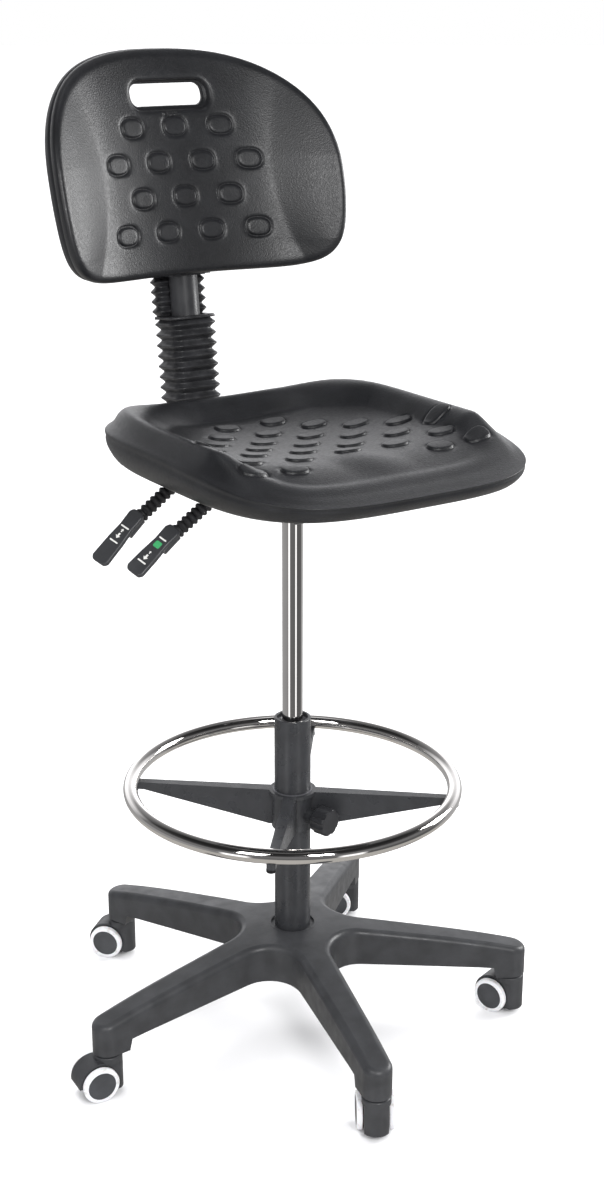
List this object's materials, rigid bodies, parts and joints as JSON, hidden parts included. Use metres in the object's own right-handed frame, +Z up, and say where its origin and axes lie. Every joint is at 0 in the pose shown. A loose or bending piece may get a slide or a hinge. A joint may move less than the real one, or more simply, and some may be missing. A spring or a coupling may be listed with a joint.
{
  "type": "draughting chair",
  "caption": "Tall industrial swivel chair with moulded seat and back, bellows back column, gas lift, chrome foot ring, star base and twin-wheel casters.",
  "frame": {"origin": "on the floor, under the centre line of the gas column", "axes": "+Z up, -Y is the way the sitter faces, +X is the sitter's left, so the levers are at -X"},
  "size_m": [0.6541, 0.6861, 1.323],
  "materials": {
    "base_nylon": "satin",
    "caster_tread": "satin",
    "wheel_grey": "satin",
    "plated_steel": "satin",
    "black_coat": "satin",
    "bearing_plastic": "satin",
    "chrome": "polished",
    "pu_skin": "satin",
    "rubber_sleeve": "matte",
    "lever_plastic": "satin",
    "rubber_bellows": "satin",
    "black_plastic": "satin",
    "black_screw": "satin"
  },
  "bodies": {
    "base": {"star_base": "base_nylon", "stem_sockets": "plated_steel", "column_tube": "black_coat", "guide_bush": "bearing_plastic", "thrust_bearing": "plated_steel"},
    "swivel_rod": {"piston_rod": "plated_steel"},
    "seat_frame": {"gas_cylinder": "chrome", "mechanism_housing": "black_coat", "seat_bolts": "plated_steel", "back_pivot_pin": "plated_steel", "seat_pad": "pu_skin"},
    "valve_pin": {"valve_pin": "plated_steel"},
    "height_lever": {"height_lever": "black_coat", "height_lever_sleeve": "rubber_sleeve", "height_lever_paddle": "lever_plastic"},
    "back_lever": {"back_lever": "black_coat", "back_lever_sleeve": "rubber_sleeve", "back_lever_paddle": "lever_plastic"},
    "back_column": {"back_bar": "black_coat", "lower_bellows": "rubber_bellows", "upper_bellows": "rubber_bellows"},
    "backrest": {"back_carrier": "black_plastic", "back_pad": "pu_skin", "back_screws": "plated_steel"},
    "ring_liner": {"collar_liner": "bearing_plastic"},
    "foot_ring": {"foot_ring": "chrome", "foot_ring_spider": "black_coat", "spider_screws": "black_screw"},
    "clamp_pad": {"clamp_pad": "bearing_plastic"},
    "clamp_knob": {"clamp_knob": "black_plastic"},
    "caster_1": {"caster_1_housing": "base_nylon", "caster_1_pins": "plated_steel"},
    "caster_1_left_wheel": {"caster_1_wheel_left": "wheel_grey", "caster_1_tread_left": "caster_tread"},
    "caster_1_right_wheel": {"caster_1_wheel_right": "wheel_grey", "caster_1_tread_right": "caster_tread"},
    "caster_2": {"caster_2_housing": "base_nylon", "caster_2_pins": "plated_steel"},
    "caster_2_left_wheel": {"caster_2_wheel_left": "wheel_grey", "caster_2_tread_left": "caster_tread"},
    "caster_2_right_wheel": {"caster_2_wheel_right": "wheel_grey", "caster_2_tread_right": "caster_tread"},
    "caster_3": {"caster_3_housing": "base_nylon", "caster_3_pins": "plated_steel"},
    "caster_3_left_wheel": {"caster_3_wheel_left": "wheel_grey", "caster_3_tread_left": "caster_tread"},
    "caster_3_right_wheel": {"caster_3_wheel_right": "wheel_grey", "caster_3_tread_right": "caster_tread"},
    "caster_4": {"caster_4_housing": "base_nylon", "caster_4_pins": "plated_steel"},
    "caster_4_left_wheel": {"caster_4_wheel_left": "wheel_grey", "caster_4_tread_left": "caster_tread"},
    "caster_4_right_wheel": {"caster_4_wheel_right": "wheel_grey", "caster_4_tread_right": "caster_tread"},
    "caster_5": {"caster_5_housing": "base_nylon", "caster_5_pins": "plated_steel"},
    "caster_5_left_wheel": {"caster_5_wheel_left": "wheel_grey", "caster_5_tread_left": "caster_tread"},
    "caster_5_right_wheel": {"caster_5_wheel_right": "wheel_grey", "caster_5_tread_right": "caster_tread"}
  },
  "joints": [
    {"name": "seat_swivel", "type": "hinge", "parent": "base", "child": "swivel_rod", "pos_m": [0, 0, 0.097], "axis": [0, 0, 1], "continuous": true},
    {"name": "seat_lift", "type": "slide", "parent": "swivel_rod", "child": "seat_frame", "axis": [0, 0, 1], "range_m": [-0.25, 0]},
    {"name": "height_lever_lift", "type": "hinge", "parent": "seat_frame", "child": "height_lever", "pos_m": [-0.045, -0.03, 0.801], "axis": [0, 1, 0], "range_deg": [0, 6], "stiffness_Nm_per_rad": 3, "springref_deg": -17.19},
    {"name": "valve_pin_press", "type": "slide", "parent": "seat_frame", "child": "valve_pin", "axis": [0, 0, -1], "range_m": [0, 0.005]},
    {"name": "back_lever_lift", "type": "hinge", "parent": "seat_frame", "child": "back_lever", "pos_m": [-0.045, 0.063, 0.801], "axis": [0, 1, 0], "range_deg": [0, 6], "stiffness_Nm_per_rad": 3, "springref_deg": -17.19},
    {"name": "back_rake", "type": "hinge", "parent": "seat_frame", "child": "back_column", "pos_m": [0, 0.15, 0.797], "axis": [-1, 0, 0], "range_deg": [-4, 18]},
    {"name": "back_height", "type": "slide", "parent": "back_column", "child": "backrest", "axis": [0, 0.1219, 0.9925], "range_m": [-0.02, 0.05], "deforming": ["upper_bellows"]},
    {"name": "foot_ring_height", "type": "slide", "parent": "base", "child": "ring_liner", "axis": [0, 0, 1], "range_m": [-0.13, 0.06]},
    {"name": "foot_ring_turn", "type": "hinge", "parent": "ring_liner", "child": "foot_ring", "pos_m": [0, 0, 0.33], "axis": [0, 0, 1], "continuous": true},
    {"name": "clamp_pad_slide", "type": "slide", "parent": "foot_ring", "child": "clamp_pad", "axis": [0.2924, -0.9563, 0], "range_m": [0, 0.0025]},
    {"name": "clamp_knob_turn", "type": "hinge", "parent": "clamp_pad", "child": "clamp_knob", "pos_m": [0.01462, -0.04782, 0.322], "axis": [0.2924, -0.9563, 0], "range_deg": [0, 720]},
    {"name": "caster_1_swivel", "type": "hinge", "parent": "base", "child": "caster_1", "pos_m": [-0.1228, 0.2879, 0.07], "axis": [0, 0, 1], "continuous": true},
    {"name": "caster_1_left_wheel_roll", "type": "hinge", "parent": "caster_1", "child": "caster_1_left_wheel", "pos_m": [-0.13527, 0.30224, 0.025], "axis": [-0.7547, -0.6561, 0], "continuous": true},
    {"name": "caster_1_right_wheel_roll", "type": "hinge", "parent": "caster_1", "child": "caster_1_right_wheel", "pos_m": [-0.13527, 0.30224, 0.025], "axis": [-0.7547, -0.6561, 0], "continuous": true},
    {"name": "caster_2_swivel", "type": "hinge", "parent": "base", "child": "caster_2", "pos_m": [-0.31176, -0.02782, 0.07], "axis": [0, 0, 1], "continuous": true},
    {"name": "caster_2_left_wheel_roll", "type": "hinge", "parent": "caster_2", "child": "caster_2_left_wheel", "pos_m": [-0.33069, -0.02617, 0.025], "axis": [-0.0872, -0.9962, 0], "continuous": true},
    {"name": "caster_2_right_wheel_roll", "type": "hinge", "parent": "caster_2", "child": "caster_2_right_wheel", "pos_m": [-0.33069, -0.02617, 0.025], "axis": [-0.0872, -0.9962, 0], "continuous": true},
    {"name": "caster_3_swivel", "type": "hinge", "parent": "base", "child": "caster_3", "pos_m": [-0.06988, -0.3051, 0.07], "axis": [0, 0, 1], "continuous": true},
    {"name": "caster_3_left_wheel_roll", "type": "hinge", "parent": "caster_3", "child": "caster_3_left_wheel", "pos_m": [-0.06009, -0.28881, 0.025], "axis": [-0.8572, 0.515, 0], "continuous": true},
    {"name": "caster_3_right_wheel_roll", "type": "hinge", "parent": "caster_3", "child": "caster_3_right_wheel", "pos_m": [-0.06009, -0.28881, 0.025], "axis": [-0.8572, 0.515, 0], "continuous": true},
    {"name": "caster_4_swivel", "type": "hinge", "parent": "base", "child": "caster_4", "pos_m": [0.26857, -0.16074, 0.07], "axis": [0, 0, 1], "continuous": true},
    {"name": "caster_4_left_wheel_roll", "type": "hinge", "parent": "caster_4", "child": "caster_4_left_wheel", "pos_m": [0.26239, -0.14277, 0.025], "axis": [-0.9455, -0.3256, 0], "continuous": true},
    {"name": "caster_4_right_wheel_roll", "type": "hinge", "parent": "caster_4", "child": "caster_4_right_wheel", "pos_m": [0.26239, -0.14277, 0.025], "axis": [-0.9455, -0.3256, 0], "continuous": true},
    {"name": "caster_5_swivel", "type": "hinge", "parent": "base", "child": "caster_5", "pos_m": [0.23586, 0.20576, 0.07], "axis": [0, 0, 1], "continuous": true},
    {"name": "caster_5_left_wheel_roll", "type": "hinge", "parent": "caster_5", "child": "caster_5_left_wheel", "pos_m": [0.21993, 0.21611, 0.025], "axis": [-0.5446, -0.8387, 0], "continuous": true},
    {"name": "caster_5_right_wheel_roll", "type": "hinge", "parent": "caster_5", "child": "caster_5_right_wheel", "pos_m": [0.21993, 0.21611, 0.025], "axis": [-0.5446, -0.8387, 0], "continuous": true}
  ],
  "couplings": [
    {"joint": "valve_pin_press", "follows": "height_lever_lift", "m_per_rad": 0.047},
    {"joint": "clamp_pad_slide", "follows": "clamp_knob_turn", "m_per_rad": 0.00019894}
  ]
}
